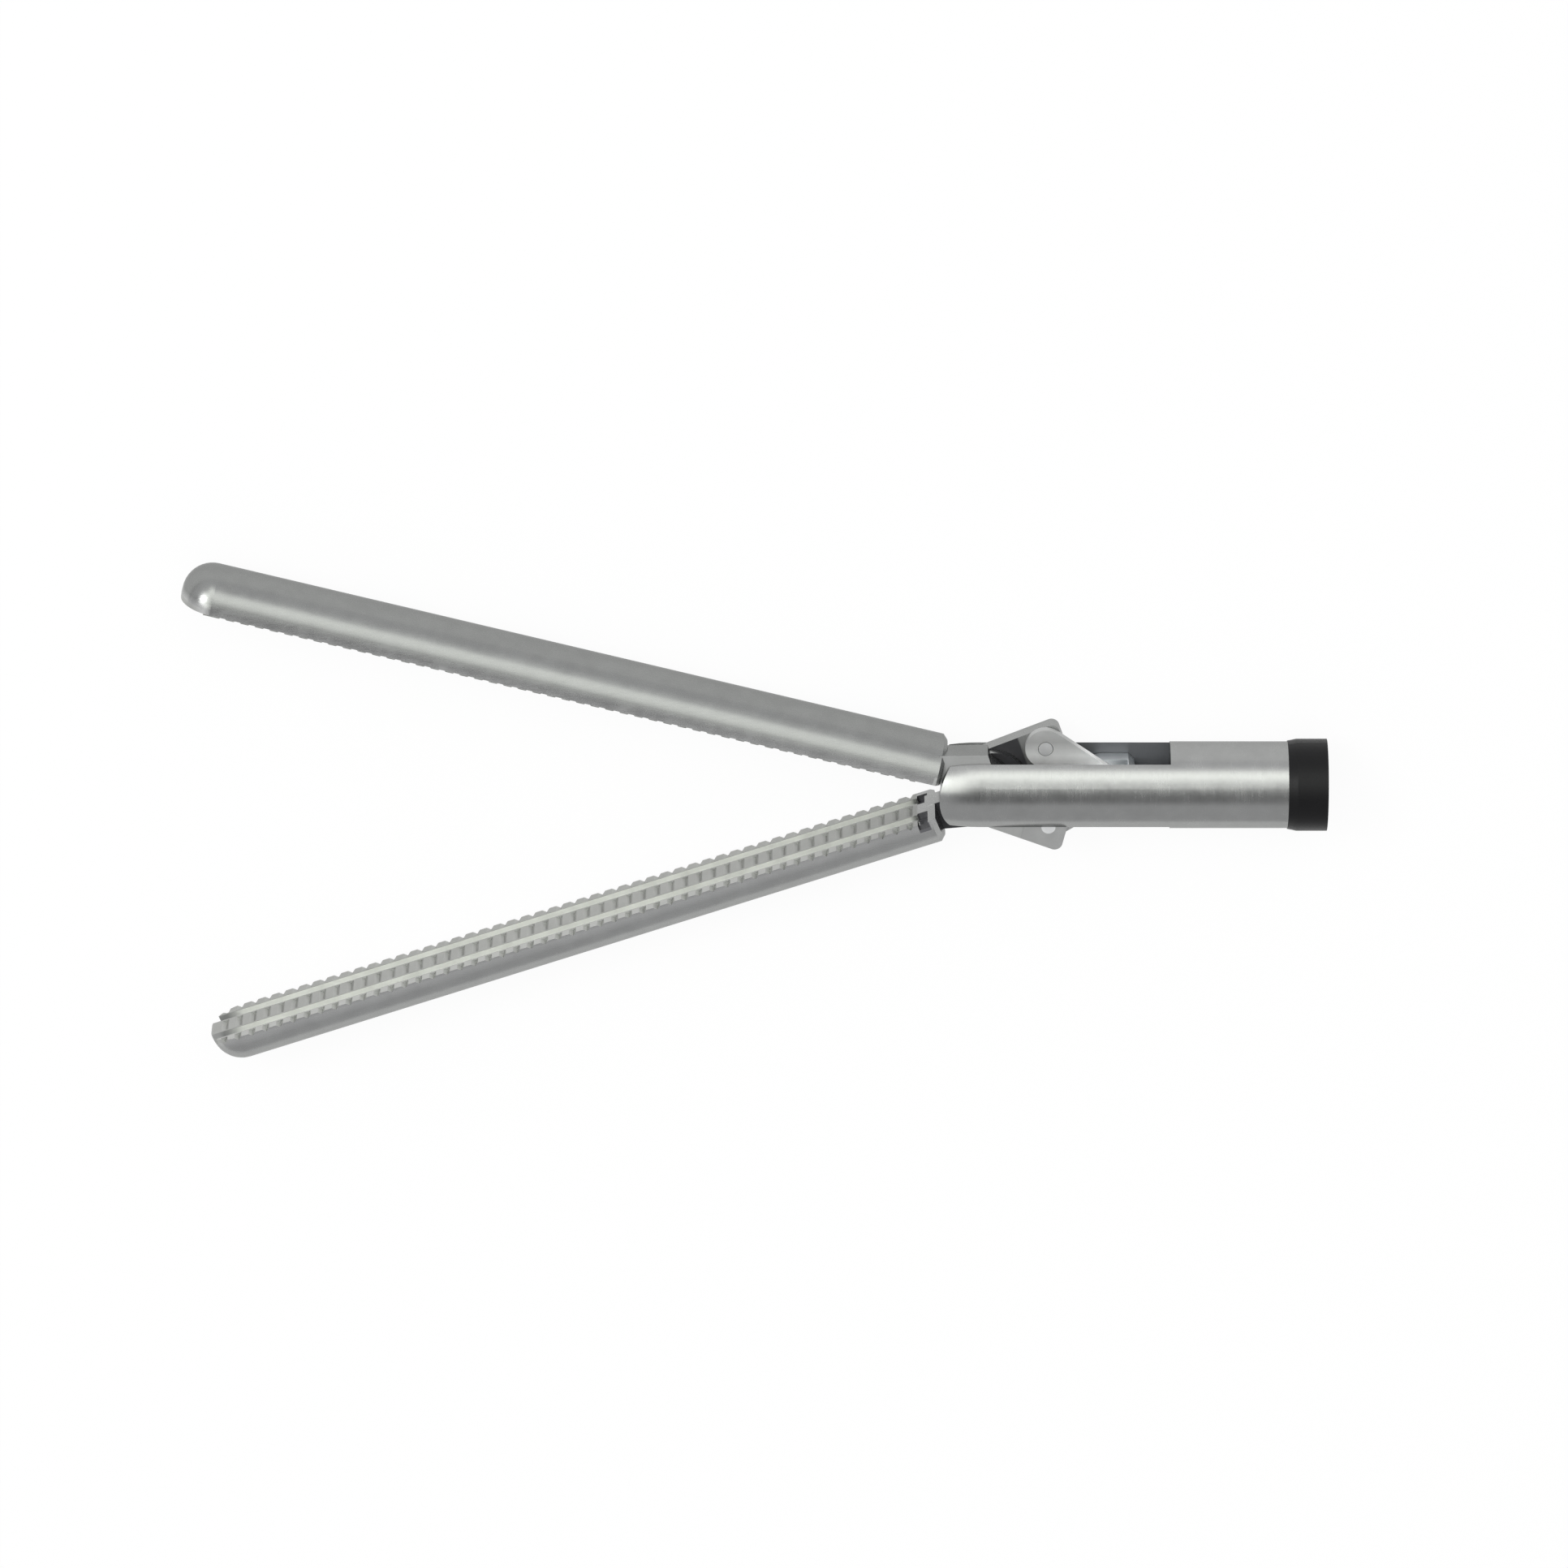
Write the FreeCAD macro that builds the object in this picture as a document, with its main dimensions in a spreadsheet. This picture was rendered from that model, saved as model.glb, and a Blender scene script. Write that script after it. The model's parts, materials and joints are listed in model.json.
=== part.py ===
import FreeCAD, Part
import Sketcher
import math
import os

# Working end of a laparoscopic grasper. Lengths are in millimetres and angles in degrees.
# The origin is the centre of the open proximal end. +X runs along the tube towards the tips,
# the jaw pivot is parallel to Z, and the instrument lies on its side with the jaws fully open.
# Left and right are seen from the handle. Every station is an X distance from the origin.

SIZES = [
    ("tube_od", 4.9, "outer diameter of the clevis tube"),
    ("pivot_station", 18.78, "from the proximal end to the jaw pivot"),
    ("nose_radius", 3.06, "round nose of the clevis arms, about the pivot"),
    ("nose_dome_radius", 14.3, "gentle doming of the tube from the pivot pin to the noses"),
    ("slot_width", 3.0, "gap between the clevis arms"),
    ("slot_reach", 9.93, "from the pivot back to the square end of the slot"),
    ("web_thickness", 0.8, "wall between the slot and the gland bore"),
    ("web_hole_diameter", 2.4, "hole for the drive rod in that wall"),
    ("gland_diameter", 3.4, "bore that holds the bush, the seal and the retainer"),
    ("socket_diameter", 4.2, "counterbore for the shaft tube"),
    ("socket_depth", 2.2, "depth of that counterbore"),
    ("sleeve_wall", 0.15, "wall of the insulation sleeve"),
    ("sleeve_length", 2.22, "length of the insulation sleeve"),
    ("sleeve_lead_length", 0.5, "tapered leading end of the sleeve"),
    ("sleeve_lead_wall", 0.05, "wall left at the leading edge of the sleeve"),
    ("running_clearance", 0.03, "radial gap between a pin and what turns on it"),
    ("layer_gap", 0.04, "gap between flat pieces stacked across the slot"),
    ("edge_break", 0.12, "broken edges of the rod and the rings"),
    ("pivot_pin_diameter", 1.6, "jaw pivot pin"),
    ("left_open_angle", 19.05, "left jaw from shut to fully open"),
    ("right_open_angle", 14.5, "right jaw from shut to fully open"),
    ("blade_reach", 47.0, "from the pivot to the blade tip"),
    ("blade_radius", 2.12, "half-round back of a blade"),
    ("tip_radius", 1.7, "rounding of the blade tip"),
    ("face_gap", 0.1, "gap between the shut faces"),
    ("left_heel_clearance", 0.45, "between the clevis nose and the heel of the left blade"),
    ("right_heel_clearance", 0.12, "between the clevis nose and the heel of the right blade"),
    ("heel_chamfer", 0.25, "chamfer round the heel of a blade"),
    ("hub_radius", 1.95, "jaw hub about the pivot"),
    ("knee_front_angle", 70.0, "where the neck meets the hub"),
    ("knee_back_angle", 157.0, "where the tail leaves the hub"),
    ("shoulder_station", 0.96, "from the pivot to the shoulder of the neck"),
    ("shoulder_height", 2.33, "height of that shoulder above the pivot"),
    ("neck_height", 1.55, "height of the neck where it enters the blade"),
    ("neck_overlap", 0.6, "length of the neck inside the blade"),
    ("tail_pin_radius", 3.66, "from the pivot to the link pin in the tail"),
    ("tail_pin_angle", 17.9, "link pin above the tube axis when shut"),
    ("tail_eye_radius", 1.03, "metal round the link pin in the tail"),
    ("tail_flank_angle", 114.0, "where the top of the tail meets that metal"),
    ("tail_corner_radius", 0.45, "rounding of the outer corner of the tail"),
    ("left_tail_inset", 0.25, "outer edge of the shut left tail inside the tube surface"),
    ("right_tail_inset", 0.05, "outer edge of the shut right tail inside the tube surface"),
    ("link_pin_diameter", 0.8, "link pins and rod cross pin"),
    ("link_length", 3.78, "between the two eyes of a link"),
    ("link_thickness", 0.46, "thickness of a link plate"),
    ("link_end_radius", 1.15, "rounded ends of a link plate"),
    ("link_eye_slack", 0.27, "play each way along the link at the rod cross pin"),
    ("fork_half_height", 1.3, "half the height of the rod fork, and its nose radius"),
    ("fork_throat", 1.4, "from the cross pin back to the bottom of the fork"),
    ("fork_base", 0.4, "metal behind the bottom of the fork"),
    ("fork_chamfer", 0.35, "bevelled back of the fork"),
    ("rod_diameter", 2.0, "drive rod"),
    ("rod_recess", 2.6, "end of the rod inside the tube, jaws open"),
    ("rod_thread_diameter", 1.2, "threaded hole in the end of the rod"),
    ("rod_thread_depth", 2.5, "depth of that hole"),
    ("bush_length", 2.2, "rod guide bush"),
    ("seal_length", 0.64, "length of the seal ring"),
    ("seal_chamfer", 0.2, "bevelled edges of the seal ring"),
    ("seal_clearance", 0.06, "radial gap between the seal ring and the rod"),
    ("seal_room", 0.7, "length of the seal space"),
    ("retainer_length", 0.9, "ring that keeps the seal in place"),
    ("retainer_clearance", 0.1, "radial gap between the retainer and the rod"),
    ("tooth_pitch", 0.84, "from one tooth to the next"),
    ("tooth_count", 50, "notches along the left jaw"),
    ("ridge_tooth_count", 48, "notches along each ridge of the right jaw"),
    ("tooth_depth", 0.18, "depth of a notch"),
    ("tooth_start", 5.0, "from the pivot to the middle of the first notch"),
    ("notch_width", 0.42, "width of a notch at the face"),
    ("row_land", 0.12, "plain land between the notches and a groove"),
    ("groove_offset", 1.1, "from the middle of the face to the middle of a groove"),
    ("groove_width", 0.7, "long grooves of the left jaw"),
    ("groove_depth", 0.45, "depth of these grooves"),
    ("relief_start", 3.95, "from the pivot to the two pockets at the heel of the left face"),
    ("relief_length", 0.6, "length of these pockets, which the grooves run into"),
    ("relief_depth", 0.35, "depth of these pockets"),
    ("relief_inner", 0.6, "from the middle of the face to either pocket"),
    ("relief_outer", 1.75, "from the middle of the face to the far side of the closed pocket"),
    ("ridge_side_gap", 0.1, "beside a ridge of the right jaw in its groove"),
    ("ridge_top_gap", 0.15, "over a ridge in its groove"),
    ("ridge_start", 4.5, "from the pivot to the heel end of the ridges"),
    ("ridge_margin", 1.4, "between the ridges and the blade tip"),
]

CUT_MARGIN = 1.0

doc = FreeCAD.newDocument("LaparoscopicGrasper")

sheet = doc.addObject("Spreadsheet::Sheet", "Sizes")
for row, (alias, size, meaning) in enumerate(SIZES, start=1):
    sheet.set(f"A{row}", meaning)
    sheet.set(f"B{row}", str(size))
    sheet.setAlias(f"B{row}", alias)
doc.recompute()


def value(text):
    """The number that a formula on the sheet gives now."""
    number = sheet.evalExpression(text)
    return float(getattr(number, "Value", number))


def bind(item, links):
    """Tie properties of an object to formulas on the sheet."""
    for name, text in links.items():
        item.setExpression(name, text)


# Formulas that several pieces share

HALF_SLOT = "(Sizes.slot_width / 2)"
TUBE_RADIUS = "(Sizes.tube_od / 2)"
LAYER_START = "(Sizes.layer_gap / 2)"
LINK_OUTSIDE = f"({LAYER_START} + Sizes.link_thickness)"
TAIL_INSIDE = f"({LINK_OUTSIDE} + Sizes.layer_gap)"
JAW_OUTSIDE = f"({HALF_SLOT} - Sizes.layer_gap)"
PIVOT_BORE = "(Sizes.pivot_pin_diameter / 2 + Sizes.running_clearance)"
LINK_BORE = "(Sizes.link_pin_diameter / 2 + Sizes.running_clearance)"
SLOT_END = "(Sizes.pivot_station - Sizes.slot_reach)"
GLAND_END = f"({SLOT_END} - Sizes.web_thickness)"
NOSE_TIP = "(Sizes.pivot_station + Sizes.nose_radius)"
DOME_START = "(Sizes.pivot_station + Sizes.pivot_pin_diameter / 2)"
FACE = "(Sizes.face_gap / 2)"
TAIL_PIN_X = "(Sizes.tail_pin_radius * cos(Sizes.tail_pin_angle))"
TAIL_PIN_Y = "(Sizes.tail_pin_radius * sin(Sizes.tail_pin_angle))"
RIDGE_HEIGHT = "(Sizes.groove_depth + Sizes.face_gap - Sizes.ridge_top_gap)"
RIDGE_WIDTH = "(Sizes.groove_width - 2 * Sizes.ridge_side_gap)"


def open_pin_angle(opening):
    """Angle of a tail's link pin from the tube axis with its jaw open."""
    return f"(Sizes.tail_pin_angle + Sizes.{opening})"


def link_angle(opening):
    """Angle of a link from the tube axis with its jaw open."""
    return f"asin(Sizes.tail_pin_radius * sin({open_pin_angle(opening)}) / Sizes.link_length)"


def link_reach(opening):
    """From the pivot back to the rod end of a link with its jaw open."""
    return (f"(Sizes.tail_pin_radius * cos({open_pin_angle(opening)})"
            f" + Sizes.link_length * cos({link_angle(opening)}))")


# The two jaws open by different angles, so the cross pin stands midway between the eyes.
CROSS_PIN_REACH = f"(({link_reach('left_open_angle')} + {link_reach('right_open_angle')}) / 2)"
FORK_BOTTOM = f"(Sizes.pivot_station - {CROSS_PIN_REACH} - Sizes.fork_throat)"


def place(item, x="0", y="0", turn="0", flipped=False):
    """Put a piece at x and y, turned about Z; a flipped piece is the mirror-hand twin."""
    spot = f"placement(vector({x}; {y}; 0); rotation(vector(0; 0; 1); {turn}))"
    if flipped:
        spot = f"placement(vector(0; 0; 0); rotation(vector(1; 0; 0); 180)) * {spot}"
    item.setExpression("Placement", spot)


def new_body(name):
    body = doc.addObject("PartDesign::Body", name)
    body.Label = name
    return body


def new_sketch(body, name, role, offset=None):
    """A sketch on one of the body's own planes, moved along the plane's normal."""
    sketch = body.newObject("Sketcher::SketchObject", name)
    plane = next(item for item in body.Origin.OriginFeatures if item.Role == role)
    sketch.AttachmentSupport = [(plane, "")]
    sketch.MapMode = "FlatFace"
    if offset:
        sketch.setExpression("AttachmentOffset.Base.z", offset)
    return sketch


def constrain(sketch, text, kind, *where):
    """A dimension whose value is a formula on the sheet."""
    number = sketch.addConstraint(Sketcher.Constraint(kind, *where, value(text)))
    sketch.setExpression(f"Constraints[{number}]", text)


def place_point(sketch, geometry, point, x, y):
    constrain(sketch, x, "DistanceX", -1, 1, geometry, point)
    constrain(sketch, y, "DistanceY", -1, 1, geometry, point)


def circle(sketch, x, y, radius):
    centre = FreeCAD.Vector(value(x), value(y), 0)
    number = sketch.addGeometry(Part.Circle(centre, FreeCAD.Vector(0, 0, 1), value(radius)))
    place_point(sketch, number, 3, x, y)
    constrain(sketch, radius, "Radius", number)


def outline(sketch, corners, arcs=None, hollows=None):
    """A closed outline, anticlockwise; arcs and hollows give the radius of a side that bulges
    outwards or inwards."""
    arcs = arcs or {}
    hollows = hollows or {}
    spots = [FreeCAD.Vector(value(x), value(y), 0) for x, y in corners]
    first = sketch.GeometryCount
    for side, start in enumerate(spots):
        end = spots[(side + 1) % len(spots)]
        if side in arcs:
            sketch.addGeometry(arc_between(start, end, value(arcs[side])))
        elif side in hollows:
            sketch.addGeometry(arc_between(end, start, value(hollows[side])))
        else:
            sketch.addGeometry(Part.LineSegment(start, end))
    starts = [2 if side in hollows else 1 for side in range(len(corners))]
    for side, start in enumerate(starts):
        following = (side + 1) % len(corners)
        sketch.addConstraint(Sketcher.Constraint(
            "Coincident", first + side, 3 - start, first + following, starts[following]))
    for side, (x, y) in enumerate(corners):
        place_point(sketch, first + side, starts[side], x, y)
    for side, radius in {**arcs, **hollows}.items():
        constrain(sketch, radius, "Radius", first + side)


def arc_between(start, end, radius):
    """The short anticlockwise arc from start to end."""
    chord = end - start
    rise = math.sqrt(radius ** 2 - chord.Length ** 2 / 4)
    inwards = FreeCAD.Vector(-chord.y, chord.x, 0).normalize()
    centre = (start + end) / 2 + inwards * rise
    angles = [math.atan2(spot.y - centre.y, spot.x - centre.x) for spot in (start, end)]
    if angles[1] < angles[0]:
        angles[1] += 2 * math.pi
    ring = Part.Circle(centre, FreeCAD.Vector(0, 0, 1), radius)
    return Part.ArcOfCircle(ring, angles[0], angles[1])


def box_corners(left, right, bottom, top):
    return [(left, bottom), (right, bottom), (right, top), (left, top)]


def add_pad(body, sketch, name, length, both_ways=False):
    pad = body.newObject("PartDesign::Pad", name)
    pad.Profile = sketch
    pad.setExpression("Length", length)
    pad.SideType = "Symmetric" if both_ways else "One side"


def add_pocket(body, sketch, name, length=None, backwards=False):
    """A cut of the given length, or right through both ways."""
    pocket = body.newObject("PartDesign::Pocket", name)
    pocket.Profile = sketch
    if length:
        pocket.setExpression("Length", length)
        pocket.Reversed = backwards
    else:
        pocket.Type = "ThroughAll"
        pocket.SideType = "Symmetric"
    return pocket


def add_revolution(body, sketch, name, angle=360.0):
    """The outline turned about the sketch's own x axis, half of it to each side."""
    turned = body.newObject("PartDesign::Revolution", name)
    turned.Profile = sketch
    turned.ReferenceAxis = (sketch, ["H_Axis"])
    turned.Angle = angle
    turned.Midplane = True
    return turned


def make_clevis_tube():
    """A round tube with a slot between two arms, whose noses are round and slightly domed."""
    body = new_body("clevis_tube")
    dome_length = f"({NOSE_TIP} - {DOME_START})"
    dome_drop = f"(Sizes.nose_dome_radius - sqrt(Sizes.nose_dome_radius ^ 2 - {dome_length} ^ 2))"
    barrel = new_sketch(body, "BarrelSection", "XY_Plane")
    outline(
        barrel,
        [
            ("0", "0"),
            (NOSE_TIP, "0"),
            (NOSE_TIP, f"{TUBE_RADIUS} - {dome_drop}"),
            (DOME_START, TUBE_RADIUS),
            ("0", TUBE_RADIUS),
        ],
        arcs={2: "Sizes.nose_dome_radius"},
    )
    add_revolution(body, barrel, "Barrel")

    beyond = f"{NOSE_TIP} + {CUT_MARGIN}"
    nose = new_sketch(body, "NoseOutline", "XY_Plane")
    outline(
        nose,
        [
            ("Sizes.pivot_station", "-Sizes.nose_radius"),
            (beyond, "-Sizes.nose_radius"),
            (beyond, "Sizes.nose_radius"),
            ("Sizes.pivot_station", "Sizes.nose_radius"),
            (NOSE_TIP, "0"),
        ],
        hollows={3: "Sizes.nose_radius", 4: "Sizes.nose_radius"},
    )
    add_pocket(body, nose, "RoundNose")

    slot = new_sketch(body, "SlotOutline", "XZ_Plane")
    outline(slot, box_corners(SLOT_END, beyond, f"-{HALF_SLOT}", HALF_SLOT))
    add_pocket(body, slot, "Slot")

    bores = [
        ("RodHole", "Sizes.web_hole_diameter / 2", f"{SLOT_END} + {CUT_MARGIN}"),
        ("GlandBore", "Sizes.gland_diameter / 2", GLAND_END),
        ("ShaftSocket", "Sizes.socket_diameter / 2", "Sizes.socket_depth"),
    ]
    for name, radius, depth in bores:
        mouth = new_sketch(body, f"{name}Section", "YZ_Plane")
        circle(mouth, "0", "0", radius)
        add_pocket(body, mouth, name, depth, backwards=True)

    pin_hole = new_sketch(body, "PinHoleSection", "XY_Plane")
    circle(pin_hole, "Sizes.pivot_station", "0", "Sizes.pivot_pin_diameter / 2")
    add_pocket(body, pin_hole, "PinHole")
    return body


def make_ring(name, inner, outer, start, length, lead_length=None, lead_height=None):
    """A ring on the tube axis; its front outer edge may be tapered."""
    body = new_body(name)
    section = new_sketch(body, f"{name}_section", "XY_Plane")
    end = f"{start} + {length}"
    corners = [(start, inner), (end, inner)]
    if lead_length:
        corners += [(end, f"{outer} - {lead_height}"), (f"{end} - {lead_length}", outer)]
    else:
        corners += [(end, outer)]
    corners += [(start, outer)]
    outline(section, corners)
    add_revolution(body, section, f"{name}_ring")
    return body


def make_insulation_sleeve():
    lead = "(Sizes.sleeve_wall - Sizes.sleeve_lead_wall)"
    return make_ring("insulation_sleeve", TUBE_RADIUS, f"{TUBE_RADIUS} + Sizes.sleeve_wall", "0",
                     "Sizes.sleeve_length", "Sizes.sleeve_lead_length", lead)


def make_rod_guide_bush():
    bore = "Sizes.rod_diameter / 2 + Sizes.running_clearance"
    return make_ring("rod_guide_bush", bore, "Sizes.gland_diameter / 2",
                     f"{GLAND_END} - Sizes.bush_length", "Sizes.bush_length",
                     "Sizes.edge_break", "Sizes.edge_break")


def make_seal_retainer():
    bore = "Sizes.rod_diameter / 2 + Sizes.retainer_clearance"
    start = f"{GLAND_END} - Sizes.bush_length - Sizes.seal_room - Sizes.retainer_length"
    return make_ring("seal_retainer", bore, "Sizes.gland_diameter / 2", start,
                     "Sizes.retainer_length", "Sizes.edge_break", "Sizes.edge_break")


def make_rod_seal():
    """A seal ring with bevelled edges, in the middle of its space behind the bush."""
    body = new_body("rod_seal")
    inner = "(Sizes.rod_diameter / 2 + Sizes.seal_clearance)"
    outer = "(Sizes.gland_diameter / 2)"
    middle = f"({GLAND_END} - Sizes.bush_length - Sizes.seal_room / 2)"
    back = f"({middle} - Sizes.seal_length / 2)"
    front = f"({middle} + Sizes.seal_length / 2)"
    bevel = "Sizes.seal_chamfer"
    section = new_sketch(body, "SealSection", "XY_Plane")
    outline(section, [
        (f"{back} + {bevel}", inner),
        (f"{front} - {bevel}", inner),
        (front, f"{inner} + {bevel}"),
        (front, f"{outer} - {bevel}"),
        (f"{front} - {bevel}", outer),
        (f"{back} + {bevel}", outer),
        (back, f"{outer} - {bevel}"),
        (back, f"{inner} + {bevel}"),
    ])
    add_revolution(body, section, "SealRing")
    return body


def make_pivot_pin():
    """The pin's ends are ground to the round of the tube."""
    stem = doc.addObject("Part::Cylinder", "PivotStem")
    bind(stem, {
        "Radius": "Sizes.pivot_pin_diameter / 2",
        "Height": "Sizes.tube_od",
        "Placement.Base.x": "Sizes.pivot_station",
        "Placement.Base.z": f"-{TUBE_RADIUS}",
    })
    barrel = doc.addObject("Part::Cylinder", "PivotBarrel")
    bind(barrel, {"Radius": TUBE_RADIUS, "Height": "2 * Sizes.pivot_station"})
    barrel.Placement.Rotation = FreeCAD.Rotation(FreeCAD.Vector(0, 1, 0), 90)
    pin = doc.addObject("Part::Common", "pivot_pin")
    pin.Label = "pivot_pin"
    pin.Base = stem
    pin.Tool = barrel
    return pin


def make_jaw(side, flipped):
    """Blade, neck, hub and tail of one jaw, drawn shut; a flipped jaw is the other hand."""
    name = f"{side}_jaw"
    body = new_body(name)
    heel = f"(Sizes.nose_radius + Sizes.{side}_heel_clearance)"
    back = f"({FACE} + Sizes.blade_radius)"
    blade = new_sketch(body, f"{name}_blade_section", "XY_Plane")
    outline(
        blade,
        [
            (heel, FACE),
            ("Sizes.blade_reach", FACE),
            ("Sizes.blade_reach", f"{back} - Sizes.tip_radius"),
            ("Sizes.blade_reach - Sizes.tip_radius", back),
            (f"{heel} + Sizes.heel_chamfer", back),
            (heel, f"{back} - Sizes.heel_chamfer"),
        ],
        arcs={2: "Sizes.tip_radius"},
    )
    axis_line = blade.addGeometry(Part.LineSegment(
        FreeCAD.Vector(0, value(FACE), 0), FreeCAD.Vector(1, value(FACE), 0)), True)
    place_point(blade, axis_line, 1, "0", FACE)
    place_point(blade, axis_line, 2, "1", FACE)
    half_round = add_revolution(body, blade, f"{name}_blade", angle=180.0)
    half_round.ReferenceAxis = (blade, ["Axis0"])

    bottom = ("0", "-Sizes.hub_radius")
    front = ("Sizes.hub_radius", "0")
    root_low = (f"{heel} + Sizes.neck_overlap", FACE)
    root_high = (f"{heel} + Sizes.neck_overlap", "Sizes.neck_height")
    shoulder = ("Sizes.shoulder_station", "Sizes.shoulder_height")
    knee_front = hub_point("Sizes.knee_front_angle")
    knee_back = hub_point("Sizes.knee_back_angle")
    hub = new_sketch(body, f"{name}_hub_outline", "XY_Plane", f"-{JAW_OUTSIDE}")
    outline(hub, [bottom, front, root_low, root_high, shoulder, knee_front, knee_back],
            arcs={0: "Sizes.hub_radius", 6: "Sizes.hub_radius"})
    add_pad(body, hub, f"{name}_hub", f"{JAW_OUTSIDE} - {LAYER_START}")

    end = f"(-{TAIL_PIN_X} - Sizes.tail_eye_radius)"
    edge = f"(Sizes.{side}_tail_inset - {TUBE_RADIUS})"
    eye_top = (f"-{TAIL_PIN_X} + Sizes.tail_eye_radius * cos(Sizes.tail_flank_angle)",
               f"-{TAIL_PIN_Y} + Sizes.tail_eye_radius * sin(Sizes.tail_flank_angle)")
    eye_back = (end, f"-{TAIL_PIN_Y}")
    corner_back = (end, f"{edge} + Sizes.tail_corner_radius")
    corner_front = (f"{end} + Sizes.tail_corner_radius", edge)
    tail = new_sketch(body, f"{name}_tail_outline", "XY_Plane", f"-{JAW_OUTSIDE}")
    outline(
        tail,
        [bottom, front, knee_front, knee_back, eye_top, eye_back, corner_back, corner_front],
        arcs={0: "Sizes.hub_radius", 4: "Sizes.tail_eye_radius", 6: "Sizes.tail_corner_radius"},
    )
    add_pad(body, tail, f"{name}_tail", f"{JAW_OUTSIDE} - {TAIL_INSIDE}")

    holes = new_sketch(body, f"{name}_holes", "XY_Plane")
    circle(holes, "0", "0", PIVOT_BORE)
    circle(holes, f"-{TAIL_PIN_X}", f"-{TAIL_PIN_Y}", "Sizes.link_pin_diameter / 2")
    add_pocket(body, holes, f"{name}_pin_holes")

    turn = f"Sizes.{side}_open_angle"
    place(body, x="Sizes.pivot_station", turn=turn, flipped=flipped)
    return body


def hub_point(angle):
    return (f"Sizes.hub_radius * cos({angle})", f"Sizes.hub_radius * sin({angle})")


def face_strips(sketch, start, end, width):
    """Two strips along the blade, either side of the middle of its face."""
    for side in ("-", ""):
        middle = f"{side}Sizes.groove_offset"
        low = f"{middle} - {width} / 2"
        high = f"{middle} + {width} / 2"
        outline(sketch, box_corners(start, end, low, high))


def cut_notches(body, name, surface, count, rows):
    """V notches in each toothed row, repeated along it; they open towards -Y. A row is the
    lowest Z of its notches and their width, or no value for a notch right across."""
    middle = "Sizes.tooth_start"
    left = f"{middle} - Sizes.notch_width / 2"
    right = f"{middle} + Sizes.notch_width / 2"
    mouth = f"{surface} - {FACE}"
    notches = []
    for number, (bottom, width) in enumerate(rows):
        notch = new_sketch(body, f"{name}_notch_outline_{number}", "XY_Plane", bottom)
        outline(notch, [
            (left, mouth),
            (right, mouth),
            (right, surface),
            (middle, f"{surface} + Sizes.tooth_depth"),
            (left, surface),
        ])
        notches.append(add_pocket(body, notch, f"{name}_notch_{number}", width, backwards=True))
    pattern = body.newObject("PartDesign::LinearPattern", f"{name}_notches")
    pattern.Originals = notches
    pattern.Direction = (notch, ["H_Axis"])
    pattern.Mode = "Spacing"
    bind(pattern, {"Offset": "Sizes.tooth_pitch", "Occurrences": f"Sizes.{count}"})
    body.Tip = pattern


def make_left_jaw():
    """Three toothed rows with a long groove between each two, and a pocket where each groove
    ends at the heel; the pocket on the +Z side is open to the side of the blade."""
    body = make_jaw("left", flipped=False)
    relief_end = "Sizes.relief_start + Sizes.relief_length"
    beyond_tip = f"Sizes.blade_reach + {CUT_MARGIN}"
    beyond_side = f"Sizes.blade_radius + {CUT_MARGIN}"
    reliefs = new_sketch(body, "ReliefOutline", "XZ_Plane", f"-{FACE}")
    outline(reliefs, box_corners("Sizes.relief_start", relief_end,
                                 "-Sizes.relief_outer", "-Sizes.relief_inner"))
    outline(reliefs, box_corners("Sizes.relief_start", relief_end,
                                 "Sizes.relief_inner", beyond_side))
    add_pocket(body, reliefs, "Reliefs", "Sizes.relief_depth")
    grooves = new_sketch(body, "GrooveOutline", "XZ_Plane", f"-{FACE}")
    face_strips(grooves, "Sizes.relief_start + Sizes.relief_length / 2", beyond_tip,
                "Sizes.groove_width")
    add_pocket(body, grooves, "Grooves", "Sizes.groove_depth")
    middle_half = "(Sizes.groove_offset - Sizes.groove_width / 2 - Sizes.row_land)"
    side_start = "(Sizes.groove_offset + Sizes.groove_width / 2 + Sizes.row_land)"
    side_width = f"({beyond_side} - {side_start})"
    rows = [
        (f"-({beyond_side})", side_width),
        (f"-{middle_half}", f"2 * {middle_half}"),
        (side_start, side_width),
    ]
    cut_notches(body, "left_jaw", FACE, "tooth_count", rows)
    return body


def make_right_jaw():
    """Two toothed ridges that sit in the grooves of the left jaw."""
    body = make_jaw("right", flipped=True)
    ridge_end = "Sizes.blade_reach - Sizes.ridge_margin"
    ridges = new_sketch(body, "RidgeOutline", "XZ_Plane", f"-{FACE}")
    face_strips(ridges, "Sizes.ridge_start", ridge_end, RIDGE_WIDTH)
    add_pad(body, ridges, "Ridges", RIDGE_HEIGHT)
    top = f"({FACE} - {RIDGE_HEIGHT})"
    cut_notches(body, "right_jaw", top, "ridge_tooth_count", [(None, None)])
    return body


def link_pin_spot(opening):
    """Where a tail's link pin stands with its jaw open, on the unflipped side."""
    angle = open_pin_angle(opening)
    return (f"Sizes.pivot_station - Sizes.tail_pin_radius * cos({angle})",
            f"-Sizes.tail_pin_radius * sin({angle})")


def make_link_pin(name, opening, flipped):
    """A rivet through the tail and the link, dressed flush at both ends."""
    pin = doc.addObject("Part::Cylinder", name)
    pin.Label = name
    bind(pin, {
        "Radius": "Sizes.link_pin_diameter / 2",
        "Height": f"{JAW_OUTSIDE} - {LAYER_START}",
    })
    x, y = link_pin_spot(opening)
    spot = f"placement(vector({x}; {y}; -{JAW_OUTSIDE}); rotation(vector(0; 0; 1); 0))"
    if flipped:
        spot = f"placement(vector(0; 0; 0); rotation(vector(1; 0; 0); 180)) * {spot}"
    pin.setExpression("Placement", spot)
    return pin


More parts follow.
